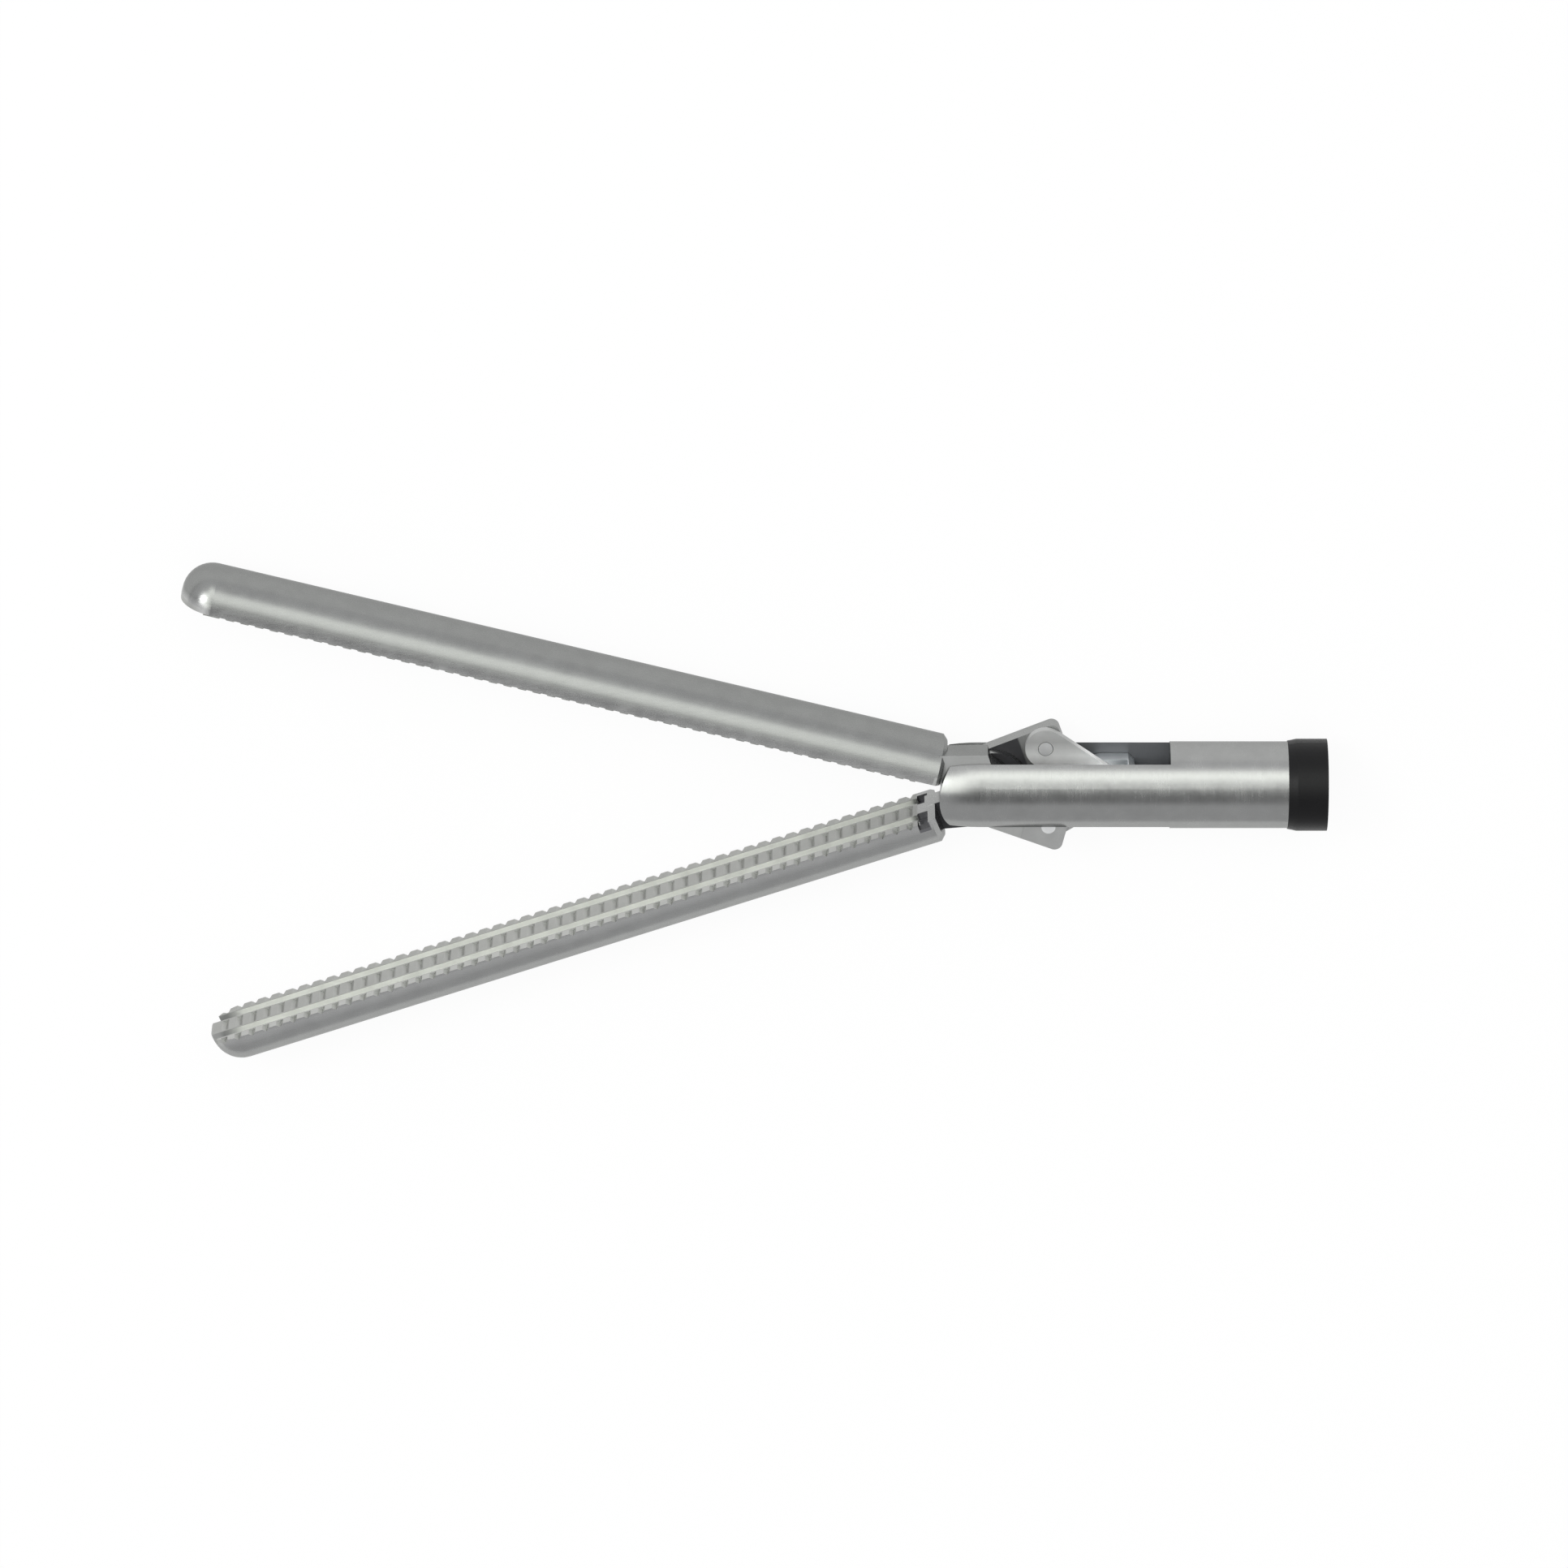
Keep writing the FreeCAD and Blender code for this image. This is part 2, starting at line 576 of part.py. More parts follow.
def make_link(name, opening, flipped):
    """A plate with a round eye on the tail pin and a slack eye on the rod cross pin."""
    body = new_body(name)
    plate = new_sketch(body, f"{name}_outline", "XY_Plane", f"-{LINK_OUTSIDE}")
    rounded_strip(plate, "0", "Sizes.link_length", "Sizes.link_end_radius")
    add_pad(body, plate, f"{name}_plate", "Sizes.link_thickness")
    eyes = new_sketch(body, f"{name}_eyes", "XY_Plane")
    circle(eyes, "0", "0", LINK_BORE)
    rounded_strip(eyes, "Sizes.link_length - Sizes.link_eye_slack",
                  "Sizes.link_length + Sizes.link_eye_slack", LINK_BORE)
    add_pocket(body, eyes, f"{name}_eye_holes")
    x, y = link_pin_spot(opening)
    place(body, x=x, y=y, turn=f"180 deg - {link_angle(opening)}", flipped=flipped)
    return body


def rounded_strip(sketch, start, end, radius):
    """A strip along the sketch's x axis with a round end at each centre."""
    outline(
        sketch,
        [
            (start, f"-{radius}"),
            (end, f"-{radius}"),
            (f"{end} + {radius}", "0"),
            (end, radius),
            (start, radius),
            (f"{start} - {radius}", "0"),
        ],
        arcs={1: radius, 2: radius, 4: radius, 5: radius},
    )


def make_rod_fork():
    """The fork on the drive rod: two cheeks with a round nose, outside the links."""
    body = new_body("rod_fork")
    half = "Sizes.fork_half_height"
    back = "-(Sizes.fork_throat + Sizes.fork_base)"
    bevel = "Sizes.fork_chamfer"
    side = new_sketch(body, "ForkOutline", "XY_Plane")
    outline(
        side,
        [
            (back, f"{bevel} - {half}"),
            (f"{back} + {bevel}", f"-{half}"),
            ("0", f"-{half}"),
            (half, "0"),
            ("0", half),
            (f"{back} + {bevel}", half),
            (back, f"{half} - {bevel}"),
        ],
        arcs={2: half, 3: half},
    )
    add_pad(body, side, "ForkBlock", f"2 * {JAW_OUTSIDE}", both_ways=True)
    throat = new_sketch(body, "ThroatOutline", "XZ_Plane")
    outline(throat, box_corners("-Sizes.fork_throat", f"{half} + {CUT_MARGIN}",
                                f"-{TAIL_INSIDE}", TAIL_INSIDE))
    add_pocket(body, throat, "Throat")
    eye = new_sketch(body, "ForkEyes", "XY_Plane")
    circle(eye, "0", "0", "Sizes.link_pin_diameter / 2")
    add_pocket(body, eye, "CrossPinHole")
    seat = new_sketch(body, "RodSeatSection", "YZ_Plane", back)
    circle(seat, "0", "0", "Sizes.rod_diameter / 2")
    add_pocket(body, seat, "RodSeat", "Sizes.fork_base", backwards=True)
    place(body, x=f"Sizes.pivot_station - {CROSS_PIN_REACH}")
    return body


def make_rod_cross_pin():
    pin = doc.addObject("Part::Cylinder", "rod_cross_pin")
    pin.Label = "rod_cross_pin"
    bind(pin, {
        "Radius": "Sizes.link_pin_diameter / 2",
        "Height": f"2 * {JAW_OUTSIDE}",
        "Placement.Base.x": f"Sizes.pivot_station - {CROSS_PIN_REACH}",
        "Placement.Base.z": f"-{JAW_OUTSIDE}",
    })
    return pin


def make_drive_rod():
    body = new_body("drive_rod")
    start = "Sizes.rod_recess"
    radius = "Sizes.rod_diameter / 2"
    section = new_sketch(body, "RodSection", "XY_Plane")
    hole_radius = "Sizes.rod_thread_diameter / 2"
    hole_end = f"{start} + Sizes.rod_thread_depth"
    outline(section, [
        (hole_end, "0"),
        (FORK_BOTTOM, "0"),
        (FORK_BOTTOM, radius),
        (f"{start} + Sizes.edge_break", radius),
        (start, f"{radius} - Sizes.edge_break"),
        (start, hole_radius),
        (hole_end, hole_radius),
    ])
    add_revolution(body, section, "Rod")
    return body


def check(pieces):
    """Stop if anything in the document failed or a piece is not a sound solid."""
    failed = [item.Name for item in doc.Objects
              if {"Invalid", "Error"} & set(item.State)]
    if failed:
        raise RuntimeError(f"failed features: {failed}")
    for piece in pieces:
        shape = piece.Shape
        if shape.isNull() or not shape.isValid() or len(shape.Solids) != 1:
            raise RuntimeError(f"{piece.Label} is not one sound solid")


pieces = [
    make_clevis_tube(),
    make_insulation_sleeve(),
    make_rod_guide_bush(),
    make_rod_seal(),
    make_seal_retainer(),
    make_pivot_pin(),
    make_left_jaw(),
    make_right_jaw(),
    make_link_pin("left_link_pin", "left_open_angle", flipped=False),
    make_link_pin("right_link_pin", "right_open_angle", flipped=True),
    make_link("left_link", "left_open_angle", flipped=False),
    make_link("right_link", "right_open_angle", flipped=True),
    make_rod_fork(),
    make_rod_cross_pin(),
    make_drive_rod(),
]
doc.recompute()
check(pieces)

os.makedirs("parts", exist_ok=True)
for piece in pieces:
    piece.Shape.exportStep(f"parts/{piece.Label}.step")
    box = piece.Shape.BoundBox
    print(f"{piece.Label}: volume {piece.Shape.Volume:.3f} mm3, "
          f"x {box.XMin:.2f} to {box.XMax:.2f}, y {box.YMin:.2f} to {box.YMax:.2f}, "
          f"z {box.ZMin:.2f} to {box.ZMax:.2f}")
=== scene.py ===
import json
import math

import bpy
from mathutils import Matrix, Vector


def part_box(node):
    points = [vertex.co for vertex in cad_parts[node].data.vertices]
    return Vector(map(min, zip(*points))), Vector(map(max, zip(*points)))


# Satin steel working end of a laparoscopic grasper on a white table, seen 25 degrees off the
# jaw pivot with the tips to the left. Lengths are metres, angles degrees.

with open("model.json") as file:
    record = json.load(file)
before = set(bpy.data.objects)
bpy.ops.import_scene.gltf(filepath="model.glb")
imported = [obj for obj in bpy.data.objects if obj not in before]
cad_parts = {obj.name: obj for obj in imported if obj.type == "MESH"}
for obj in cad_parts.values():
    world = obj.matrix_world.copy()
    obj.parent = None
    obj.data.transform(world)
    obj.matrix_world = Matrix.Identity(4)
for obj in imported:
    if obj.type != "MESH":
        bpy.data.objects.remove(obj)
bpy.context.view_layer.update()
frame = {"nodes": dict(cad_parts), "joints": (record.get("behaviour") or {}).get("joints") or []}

MM = 0.001

# The photograph's view

VIEW_TILT = 25.0
VIEW_DISTANCE = 600 * MM
PIXELS_PER_MM = 21.86
IMAGE_SIZE = 1932
SENSOR_WIDTH = 36.0
PIVOT_PIXEL = 1224
AXIS_PIXEL = 966.85


def joint_named(name):
    return next(joint for joint in frame["joints"] if joint["name"] == name)


PIVOT = Vector(joint_named("left_jaw_hinge")["pos_m"])
FLOOR_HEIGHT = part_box("insulation_sleeve")[0][2]


def make_camera():
    """The camera stands on the right jaw's side, with the tube's open end to the right."""
    tilt = math.radians(VIEW_TILT)
    right = Vector((-1, 0, 0))
    up = Vector((0, -math.cos(tilt), -math.sin(tilt)))
    back = Vector((0, -math.sin(tilt), math.cos(tilt)))
    middle = IMAGE_SIZE / 2
    across = (PIVOT_PIXEL - middle) / PIXELS_PER_MM * MM
    rise = (AXIS_PIXEL - middle) / PIXELS_PER_MM * MM
    target = PIVOT - right * across + up * rise
    data = bpy.data.cameras.new("photo_camera")
    data.sensor_width = SENSOR_WIDTH
    data.lens = PIXELS_PER_MM * VIEW_DISTANCE / MM * SENSOR_WIDTH / IMAGE_SIZE
    data.clip_start = 10 * MM
    data.clip_end = 20.0
    camera = bpy.data.objects.new("photo_camera", data)
    rotation = Matrix((right, up, back)).transposed().to_4x4()
    camera.matrix_world = Matrix.Translation(target + back * VIEW_DISTANCE) @ rotation
    bpy.context.collection.objects.link(camera)
    bpy.context.scene.camera = camera


# Node trees

AHEAD = (1.0, 0.0, 0.0)
BEHIND = (-1.0, 0.0, 0.0)
ASIDE = (0.0, 1.0, 0.0)
UP = (0.0, 0.0, 1.0)

SQUARE_ON = (0.97, 0.99)
SLANTED = (0.3, 0.5)


class Nodes:
    """A material's node tree, built from calls."""

    def __init__(self, tree):
        self.tree = tree
        self.tree.nodes.clear()

    def add(self, kind, inputs=None, **settings):
        node = self.tree.nodes.new(kind)
        for name, setting in settings.items():
            setattr(node, name, setting)
        for name, source in (inputs or {}).items():
            self.plug(node.inputs[name], source)
        return node

    def plug(self, socket, source):
        """Link a socket or set its constant; a colour may be given without its alpha."""
        if isinstance(source, bpy.types.NodeSocket):
            self.tree.links.new(source, socket)
        elif isinstance(source, tuple):
            socket.default_value = (*source, 1.0)[:len(socket.default_value)]
        else:
            socket.default_value = source

    def math(self, operation, first, second=0.0):
        node = self.tree.nodes.new("ShaderNodeMath")
        node.operation = operation
        self.plug(node.inputs[0], first)
        self.plug(node.inputs[1], second)
        return node.outputs[0]

    def noise(self, vector, scale, detail=4.0, roughness=0.6):
        node = self.add("ShaderNodeTexNoise", {
            "Vector": vector, "Scale": scale, "Detail": detail, "Roughness": roughness})
        return node.outputs["Fac"]

    def stretched(self, vector, scale):
        node = self.add("ShaderNodeMapping", {"Vector": vector, "Scale": scale})
        return node.outputs["Vector"]

    def remap(self, source, low, high, to_low, to_high):
        node = self.add("ShaderNodeMapRange", {
            "Value": source, "From Min": low, "From Max": high,
            "To Min": to_low, "To Max": to_high})
        return node.outputs["Result"]

    def dot(self, vector, direction):
        node = self.add("ShaderNodeVectorMath", {0: vector, 1: direction},
                        operation="DOT_PRODUCT")
        return node.outputs["Value"]

    def minus(self, vector, other):
        node = self.add("ShaderNodeVectorMath", {0: vector, 1: other}, operation="SUBTRACT")
        return node.outputs["Vector"]

    def inside(self, source, low, high, soft):
        """1 between low and high, falling to 0 over the soft width outside them."""
        rise = self.remap(source, low - soft, low, 0.0, 1.0)
        fall = self.remap(source, high, high + soft, 1.0, 0.0)
        return self.math("MULTIPLY", rise, fall)

    def both(self, *masks):
        product = masks[0]
        for mask in masks[1:]:
            product = self.math("MULTIPLY", product, mask)
        return product

    def facing(self, normal, direction, span):
        """0 to 1 as the surface turns to face the direction, either way round."""
        share = self.math("ABSOLUTE", self.dot(normal, direction))
        return self.remap(share, *span, 0.0, 1.0)

    def blend(self, amount, first, second):
        node = self.tree.nodes.new("ShaderNodeMix")
        node.data_type = "RGBA"
        self.plug(node.inputs["Factor"], amount)
        self.plug(node.inputs["A"], first)
        self.plug(node.inputs["B"], second)
        return node.outputs["Result"]


def new_material(name):
    material = bpy.data.materials.new(name)
    material.use_nodes = True
    return material, Nodes(material.node_tree)


def finish_material(nodes, shader):
    nodes.add("ShaderNodeOutputMaterial", {"Surface": shader.outputs[0]})


# Tones; EDGE_TONE is how much of the steel's shine is left where it is seen edge on

EDGE_TONE = (0.72, 0.72, 0.72)
STEEL_TONE = (0.37, 0.375, 0.37)
LEFT_TONE = (0.385, 0.39, 0.385)
# Painted light: the rim tones paint a lighter band on each jaw's back along its face
LEFT_RIM_PAINTED_LIGHT_TONE = (0.53, 0.535, 0.53)
# Painted shade: the right jaw is the same steel as the left jaw, painted darker
RIGHT_JAW_SHADED_TONE = (0.29, 0.295, 0.29)
RIGHT_RIM_PAINTED_LIGHT_TONE = (0.7, 0.705, 0.7)
MATT_TONE = (0.48, 0.485, 0.48)
TAIL_TONE = (0.4, 0.405, 0.4)
# Painted shade: the left jaw's hub faces are painted nearly black for the shade between the
# heels
HUB_PAINTED_SHADE_TONE = (0.09, 0.09, 0.095)
# Painted shade: the lower slot wall is painted dark behind the links
WALL_PAINTED_SHADE_TONE = (0.2, 0.205, 0.215)
# Painted shade: the inside of the left jaw's heel pocket is painted dark
POCKET_PAINTED_SHADE_TONE = (0.2, 0.2, 0.21)
CREST_TONE = (0.46, 0.465, 0.45)
# Painted light: the near row of teeth is painted lighter, as if facing the light
NEAR_ROW_PAINTED_LIGHT_TONE = (0.57, 0.575, 0.56)
NOTCH_TONE = (0.5, 0.505, 0.49)
# Painted light: the left jaw's groove floors are painted near white as bright lines
GROOVE_PAINTED_LIGHT_TONE = (0.9, 0.91, 0.88)
PLATE_TONE = (0.57, 0.575, 0.57)
# Painted light: the link plates are painted lighter towards the rod, against the near arm's
# shade
PLATE_PAINTED_LIGHT_TONE = (0.97, 0.975, 0.97)
PIN_TONE = (0.8, 0.805, 0.81)
FORK_TONE = (0.78, 0.81, 0.83)
BLACK_TONE = (0.004, 0.004, 0.0045)
BUSH_TONE = (0.62, 0.62, 0.6)
SEAL_TONE = (0.03, 0.03, 0.03)

# Surface detail, per metre; the grains are scratch densities along X, Y and Z

TURNED_GRAIN = (16000.0, 900.0, 900.0)
DRAWN_GRAIN = (900.0, 9000.0, 9000.0)
FINE_GRAIN = (6000.0, 6000.0, 6000.0)
MOTTLE_SCALE = 900.0
BLASTING_SCALE = 14000.0
NOISE_SPAN = (0.3, 0.7)

# Roughness

TUBE_ROUGHNESS = 0.25
BLADE_ROUGHNESS = 0.27
PLATE_ROUGHNESS = 0.62
WALL_ROUGHNESS = (0.6, 0.55)
FLAT_ROUGHNESS = (0.5, 0.65)
TOOTH_ROUGHNESS = 0.4
GROOVE_ROUGHNESS = 0.5

# Stretches along a jaw from the pivot

TAIL_REACH = (-9 * MM, -2.2 * MM)
HUB_REACH = (-2.1 * MM, 3.52 * MM)
BLADE_REACH = (3.3 * MM, 50 * MM)
POCKET_REACH = (3.9 * MM, 4.56 * MM)
FACE_REACH = (4.6 * MM, 46.9 * MM)
GROOVE_REACH = (4.98 * MM, 46.9 * MM)
RUN_OUT_REACH = (45.2 * MM, 46.2 * MM)

# Depths from the plane between the shut faces, and heights along the pivot

CREST_DEPTH = (-0.4 * MM, 0.06 * MM)
NOTCH_DEPTH = (-0.6 * MM, 0.3 * MM)
RIM_DEPTH = (0.05 * MM, 0.1 * MM)
GROOVE_DEPTH = (0.07 * MM, 0.6 * MM)
GROOVE_HEIGHT = (0.7 * MM, 1.5 * MM)
NEAR_ROW_HEIGHT = (1.45 * MM, 1.55 * MM)
WALL_HEIGHT = (-1.6 * MM, -1.4 * MM)

# Distances behind and beside the pivot

WALL_SHADE = (1.6 * MM, 12 * MM)
# where the link plates' painted light begins and where it is full
PAINTED_LIGHT_ASIDE = (2.6 * MM, 1.8 * MM)

# Widths over which these masks fade

SHARP = 0.01 * MM
FIRM = 0.02 * MM
SOFT = 0.1 * MM
FADING = 0.3 * MM
RIM_FADE = 0.6 * MM


def steel(name, tone, roughness, grain, regions=None):
    """Satin steel with scratches.

    regions takes the nodes and gives masks with the tone and roughness each puts on."""
    material, nodes = new_material(name)
    place = nodes.add("ShaderNodeTexCoord").outputs["Object"]
    scratches = nodes.noise(nodes.stretched(place, grain), 1.0, detail=6.0, roughness=0.7)
    mottle = nodes.noise(place, MOTTLE_SCALE, detail=5.0)
    blasting = nodes.noise(place, BLASTING_SCALE, detail=3.0)
    colour = tone
    base_roughness = roughness
    for mask, region_tone, region_roughness in (regions(nodes) if regions else ()):
        colour = nodes.blend(mask, colour, region_tone)
        base_roughness = nodes.add("ShaderNodeMix", {
            "Factor": mask, "A": base_roughness, "B": region_roughness}).outputs["Result"]
    shade = nodes.remap(mottle, 0.2, 0.8, 0.9, 1.06)
    colour = nodes.add("ShaderNodeVectorMath", {0: colour, "Scale": shade},
                       operation="SCALE").outputs["Vector"]
    wear = nodes.math("ADD", nodes.math("MULTIPLY", scratches, 0.6),
                      nodes.math("MULTIPLY", mottle, 0.4))
    gloss = nodes.math("ADD", base_roughness, nodes.remap(wear, *NOISE_SPAN, -0.05, 0.05))
    relief = nodes.math("ADD", scratches, nodes.math("MULTIPLY", blasting, 0.5))
    bump = nodes.add("ShaderNodeBump", {"Height": relief, "Strength": 0.12,
                                        "Distance": 0.01 * MM})
    shader = nodes.add("ShaderNodeBsdfPrincipled", {
        "Base Color": colour, "Metallic": 1.0, "Roughness": gloss,
        "Specular Tint": EDGE_TONE, "Normal": bump.outputs["Normal"]})
    finish_material(nodes, shader)
    return material


def slot_walls(nodes):
    """Masks of the lower slot wall: unpolished and pale by the pivot, and dark behind the links
    with painted shade.
    """
    coordinates = nodes.add("ShaderNodeTexCoord").outputs
    place = nodes.minus(coordinates["Object"], tuple(PIVOT))
    wall = nodes.both(nodes.inside(nodes.dot(place, UP), *WALL_HEIGHT, FIRM),
                      nodes.facing(coordinates["Normal"], UP, SQUARE_ON))
    # painted shade: the wall behind the links is painted dark
    dark = nodes.both(wall, nodes.inside(nodes.dot(place, BEHIND), *WALL_SHADE, FADING))
    pale_roughness, dark_roughness = WALL_ROUGHNESS
    return [(wall, MATT_TONE, pale_roughness), (dark, WALL_PAINTED_SHADE_TONE, dark_roughness)]


def jaw_regions(opening, side, grooved):
    """Masks of a jaw: rim, matt tail and hub, toothed face and the left jaw's grooves, with
    painted light on the rim, near row and grooves and painted shade on the left jaw's hub and
    heel pocket.

    side is +1 for the left jaw and -1 for the right one."""
    turn = math.radians(opening)
    along = (math.cos(turn), side * math.sin(turn), 0.0)
    deeper = (-math.sin(turn), side * math.cos(turn), 0.0)

    def masks(nodes):
        coordinates = nodes.add("ShaderNodeTexCoord").outputs
        place = nodes.minus(coordinates["Object"], tuple(PIVOT))
        reach = nodes.dot(place, along)
        depth = nodes.dot(place, deeper)
        upwards = nodes.dot(place, UP)
        flat = nodes.facing(coordinates["Normal"], UP, SQUARE_ON)
        slanted = nodes.facing(coordinates["Normal"], along, SLANTED)
        # painted light: a lighter band on the blade's back next to its face
        rim = nodes.both(nodes.inside(reach, *BLADE_REACH, SOFT),
                         nodes.inside(depth, *RIM_DEPTH, RIM_FADE))
        tail = nodes.both(nodes.inside(reach, *TAIL_REACH, SOFT), flat)
        # on the left jaw the hub is painted dark: painted shade between the heels
        hub = nodes.both(nodes.inside(reach, *HUB_REACH, SOFT), flat)
        face = nodes.inside(reach, *FACE_REACH, SOFT)
        crest = nodes.both(face, nodes.inside(depth, *CREST_DEPTH, SHARP))
        # painted light: the near row of teeth is painted lighter
        near_row = nodes.both(crest, nodes.remap(upwards, *NEAR_ROW_HEIGHT, 0.0, 1.0))
        notch = nodes.both(face, nodes.inside(depth, *NOTCH_DEPTH, FIRM), slanted)
        tail_roughness, hub_roughness = FLAT_ROUGHNESS
        found = [(rim, LEFT_RIM_PAINTED_LIGHT_TONE if grooved else RIGHT_RIM_PAINTED_LIGHT_TONE, BLADE_ROUGHNESS),
                 (tail, TAIL_TONE if grooved else MATT_TONE, tail_roughness),
                 (hub, HUB_PAINTED_SHADE_TONE if grooved else MATT_TONE, hub_roughness),
                 (crest, CREST_TONE, TOOTH_ROUGHNESS),
                 (near_row, NEAR_ROW_PAINTED_LIGHT_TONE, TOOTH_ROUGHNESS),
                 (notch, NOTCH_TONE, TOOTH_ROUGHNESS)]
        if grooved:
            height = nodes.math("ABSOLUTE", upwards)
            sunk = nodes.inside(depth, *GROOVE_DEPTH, SHARP)
            # painted light: the groove floors are painted near white, fading to matt at the
            # run-out
            groove = nodes.both(nodes.inside(reach, *GROOVE_REACH, FADING), sunk,
                                nodes.inside(height, *GROOVE_HEIGHT, FIRM),
                                nodes.remap(slanted, 0.0, 1.0, 1.0, 0.0))
            run_out = nodes.both(groove, nodes.remap(reach, *RUN_OUT_REACH, 0.0, 1.0))
            # painted shade: the heel pocket's inside is painted dark
            pocket = nodes.both(nodes.inside(reach, *POCKET_REACH, FIRM), sunk)
            found += [(groove, GROOVE_PAINTED_LIGHT_TONE, GROOVE_ROUGHNESS),
                      (run_out, MATT_TONE, GROOVE_ROUGHNESS),
                      (pocket, POCKET_PAINTED_SHADE_TONE, GROOVE_ROUGHNESS)]
        return found

    return masks


def link_face(nodes):
    """Mask of a link plate's part towards the rod, painted lighter there: painted light against
    the near clevis arm's shade.
    """
    place = nodes.add("ShaderNodeTexCoord").outputs["Object"]
    aside = nodes.math("ABSOLUTE", nodes.dot(place, ASIDE))
    return [(nodes.remap(aside, *PAINTED_LIGHT_ASIDE, 0.0, 1.0), PLATE_PAINTED_LIGHT_TONE, PLATE_ROUGHNESS)]


def plastic(name, tone, roughness, grain_scale, sheen=0.5):
    """Moulded or shrunk plastic with a fine uneven surface; sheen is its specular level."""
    material, nodes = new_material(name)
    place = nodes.add("ShaderNodeTexCoord").outputs["Object"]
    grain = nodes.noise(place, grain_scale, detail=6.0)
    cloud = nodes.noise(place, grain_scale / 12, detail=3.0)
    light = tuple(min(1.0, channel * 1.35) for channel in tone)
    colour = nodes.blend(cloud, tone, light)
    gloss = nodes.remap(grain, *NOISE_SPAN, roughness - 0.05, roughness + 0.07)
    bump = nodes.add("ShaderNodeBump", {"Height": grain, "Strength": 0.2,
                                        "Distance": 0.015 * MM})
    shader = nodes.add("ShaderNodeBsdfPrincipled", {
        "Base Color": colour, "Roughness": gloss, "Specular IOR Level": sheen,
        "Normal": bump.outputs["Normal"]})
    finish_material(nodes, shader)
    return material


LEFT_OPENING = 19.05
RIGHT_OPENING = 14.5

FINISHES = {
    "clevis_tube": steel("turned_steel", STEEL_TONE, TUBE_ROUGHNESS, TURNED_GRAIN, slot_walls),
    "pivot_pin": steel("pivot_steel", STEEL_TONE, TUBE_ROUGHNESS, TURNED_GRAIN),
    "left_jaw": steel("left_jaw_steel", LEFT_TONE, BLADE_ROUGHNESS, DRAWN_GRAIN,
                      jaw_regions(LEFT_OPENING, 1, grooved=True)),
    "right_jaw": steel("right_jaw_steel", RIGHT_JAW_SHADED_TONE, BLADE_ROUGHNESS, DRAWN_GRAIN,
                       jaw_regions(RIGHT_OPENING, -1, grooved=False)),
    "left_link": steel("link_steel", PLATE_TONE, PLATE_ROUGHNESS, FINE_GRAIN, link_face),
    "rod_fork": steel("fork_steel", FORK_TONE, 0.4, FINE_GRAIN),
    "left_link_pin": steel("pin_steel", PIN_TONE, 0.6, FINE_GRAIN),
    "insulation_sleeve": plastic("black_insulation", BLACK_TONE, 0.4, 9000.0, sheen=0.2),
    "rod_guide_bush": plastic("white_bush", BUSH_TONE, 0.4, 5000.0),
    "rod_seal": plastic("seal_rubber", SEAL_TONE, 0.55, 7000.0),
}
SHARED_FINISHES = {
    "right_link": "left_link",
    "drive_rod": "rod_fork",
    "seal_retainer": "rod_fork",
    "right_link_pin": "left_link_pin",
    "rod_cross_pin": "left_link_pin",
}


def dress_nodes():
    """Give each CAD node its finish."""
    for name, piece in frame["nodes"].items():
        material = FINISHES[SHARED_FINISHES.get(name, name)]
        for slot in piece.material_slots:
            slot.material = material


# The table; steel mirrors it darker than the camera sees it, and darkest far ahead of the tips,
# which is painted shade in the steel's reflection

FLOOR_SIZE = 3.0
FLOOR_COLOUR = (0.9, 0.9, 0.9)
FLOOR_GRAIN = 400.0
SEEN_WHITENESS = 0.93
MIRRORED_WHITENESS = 0.6
SHADE_START = 70 * MM
SHADE_END = 120 * MM
SHADE_LEVEL = 0.1


def make_floor():
    """A white table; what the camera and the steel see of it is mostly its own white."""
    bpy.ops.mesh.primitive_plane_add(size=FLOOR_SIZE, location=(PIVOT.x, 0, FLOOR_HEIGHT))
    floor = bpy.context.object
    floor.name = "table"
    material, nodes = new_material("table_white")
    place = nodes.add("ShaderNodeTexCoord").outputs["Object"]
    tooth = nodes.noise(place, FLOOR_GRAIN)
    bump = nodes.add("ShaderNodeBump", {"Height": tooth, "Strength": 0.02})
    paper = nodes.add("ShaderNodeBsdfDiffuse", {"Color": FLOOR_COLOUR,
                                                "Normal": bump.outputs["Normal"]})
    path = nodes.add("ShaderNodeLightPath")
    mirrored = nodes.math("MAXIMUM", path.outputs["Is Glossy Ray"],
                          path.outputs["Is Transmission Ray"])
    share = nodes.math("MAXIMUM",
                       nodes.math("MULTIPLY", path.outputs["Is Camera Ray"], SEEN_WHITENESS),
                       nodes.math("MULTIPLY", mirrored, MIRRORED_WHITENESS))
    # painted shade in reflection: only glossy rays see the table darkened ahead of the tips
    ahead = nodes.remap(nodes.dot(place, AHEAD), SHADE_START, SHADE_END, 0.0, 1.0)
    shade = nodes.math("MULTIPLY", mirrored, ahead)
    glow = nodes.add("ShaderNodeEmission", {
        "Strength": nodes.remap(shade, 0.0, 1.0, 1.0, SHADE_LEVEL)})
    mix = nodes.add("ShaderNodeMixShader", {"Fac": share})
    nodes.tree.links.new(paper.outputs[0], mix.inputs[1])
    nodes.tree.links.new(glow.outputs[0], mix.inputs[2])
    finish_material(nodes, mix)
    floor.data.materials.append(material)


# The room

ROOM_LEVEL = 0.8
ROOM_COLOUR = (0.79, 0.79, 0.8)

# The key light is an arch: its lean from the ceiling and its half-widths, at the top and at the
# ends of its arms, and how far the arms reach aside

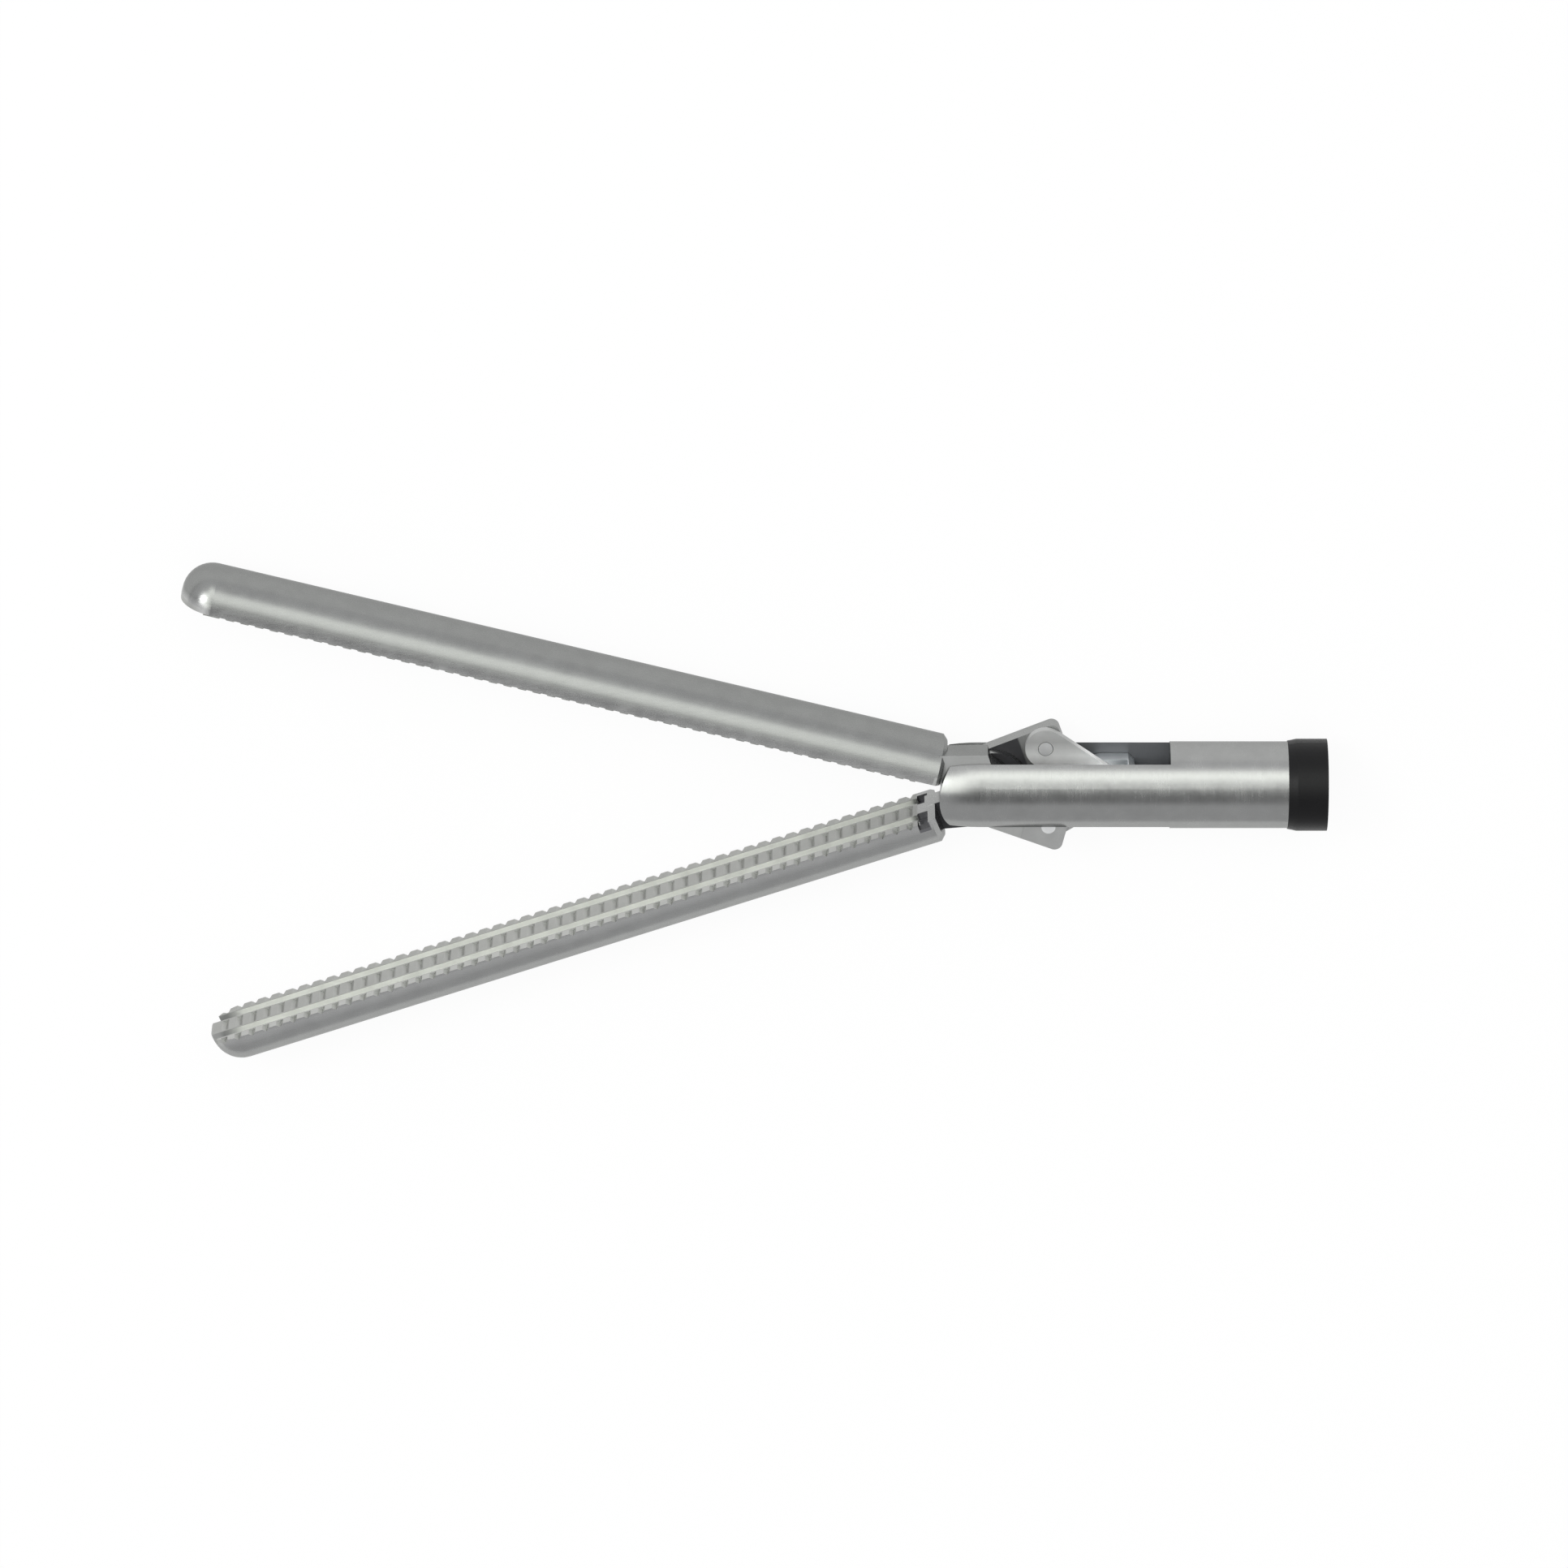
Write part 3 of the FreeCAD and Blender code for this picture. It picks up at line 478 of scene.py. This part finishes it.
KEY_LEVEL = 3.2
KEY_COLOUR = (0.79, 0.805, 0.765)
KEY_LEAN = (56.0, 25.0)
KEY_INNER = (6.0, 17.0)
KEY_OUTER = (17.0, 29.0)
KEY_FULL = 0.32
KEY_REACH = 0.5
LEFT_ARM = 0.205
LEFT_ARM_SHARE = 0.8
RIGHT_ARM = 0.13

# A weak glow around the arch's top, by its lean

GLOW_LEVEL = 0.3
GLOW_LOW = 50.0
GLOW_HIGH = 85.0
GLOW_SOFTNESS = 12.0

# The dark ceiling strip: its tilt, its half-widths and its two ends

DARK_LEVEL = 0.06
DARK_TILT = 6.0
DARK_INNER = 12.0
DARK_OUTER = 27.0
DARK_LEFT = -2.0
DARK_RIGHT = 6.0
DARK_SOFTNESS = 4.0


def sine(degrees):
    return math.sin(math.radians(degrees))


def cosine(degrees):
    return math.cos(math.radians(degrees))


def make_world():
    """An even pale room with an arch of soft light behind the photographer and a darker
    ceiling strip; they give the steel its bright and its dark streak."""
    world = bpy.data.worlds.new("room")
    world.use_nodes = True
    bpy.context.scene.world = world
    nodes = Nodes(world.node_tree)
    direction = nodes.add("ShaderNodeTexCoord").outputs["Generated"]
    split = nodes.add("ShaderNodeSeparateXYZ", {"Vector": direction}).outputs
    aside = nodes.math("ABSOLUTE", split["X"])
    lean = nodes.math("ARCTAN2", nodes.math("MULTIPLY", split["Y"], -1.0), split["Z"])
    arm = nodes.math("ADD", nodes.remap(split["X"], -LEFT_ARM, 0.0, 1.0, 0.0),
                     nodes.remap(split["X"], 0.0, RIGHT_ARM, 0.0, 1.0))
    middle, inner, outer = (
        nodes.remap(arm, 0.0, 1.0, math.radians(at_top), math.radians(at_end))
        for at_top, at_end in (KEY_LEAN, KEY_INNER, KEY_OUTER))
    off = nodes.math("ABSOLUTE", nodes.math("SUBTRACT", lean, middle))
    width = nodes.remap(off, inner, outer, 1.0, 0.0)
    length = nodes.remap(aside, KEY_FULL, KEY_REACH, 1.0, 0.0)
    side = nodes.remap(split["X"], -LEFT_ARM, 0.0, LEFT_ARM_SHARE, 1.0)
    key = nodes.both(width, length, side)
    glow = nodes.inside(lean, math.radians(GLOW_LOW), math.radians(GLOW_HIGH),
                        math.radians(GLOW_SOFTNESS))
    ceiling = nodes.dot(direction, (0.0, sine(DARK_TILT), cosine(DARK_TILT)))
    overhead = nodes.remap(ceiling, cosine(DARK_OUTER), cosine(DARK_INNER), 0.0, 1.0)
    dark = nodes.both(overhead, nodes.inside(split["X"], sine(DARK_LEFT), sine(DARK_RIGHT),
                                             sine(DARK_SOFTNESS)))
    level = nodes.remap(dark, 0.0, 1.0, ROOM_LEVEL, DARK_LEVEL)
    level = nodes.math("ADD", level, nodes.math("MULTIPLY", key, KEY_LEVEL - ROOM_LEVEL))
    level = nodes.math("ADD", level, nodes.math("MULTIPLY", glow, GLOW_LEVEL))
    sky = nodes.add("ShaderNodeBackground", {
        "Color": nodes.blend(key, ROOM_COLOUR, KEY_COLOUR), "Strength": level})
    nodes.add("ShaderNodeOutputWorld", {"Surface": sky.outputs[0]})


# The lamp that puts the bright spot on the right jaw's tip

SPARK_DIRECTION = (0.52, -0.43, 0.74)
SPARK_DISTANCE = 0.7
SPARK_SIZE = 0.24
SPARK_POWER = 1.3


def make_spark_lamp():
    """A square soft lamp that faces the pivot."""
    data = bpy.data.lights.new("spark_lamp", "AREA")
    data.size = SPARK_SIZE
    data.energy = SPARK_POWER
    lamp = bpy.data.objects.new("spark_lamp", data)
    towards = Vector(SPARK_DIRECTION).normalized()
    lamp.location = PIVOT + towards * SPARK_DISTANCE
    lamp.rotation_euler = towards.to_track_quat("Z", "Y").to_euler()
    bpy.context.collection.objects.link(lamp)


make_camera()
make_floor()
make_world()
make_spark_lamp()
dress_nodes()

bpy.context.scene.view_settings.view_transform = "Standard"
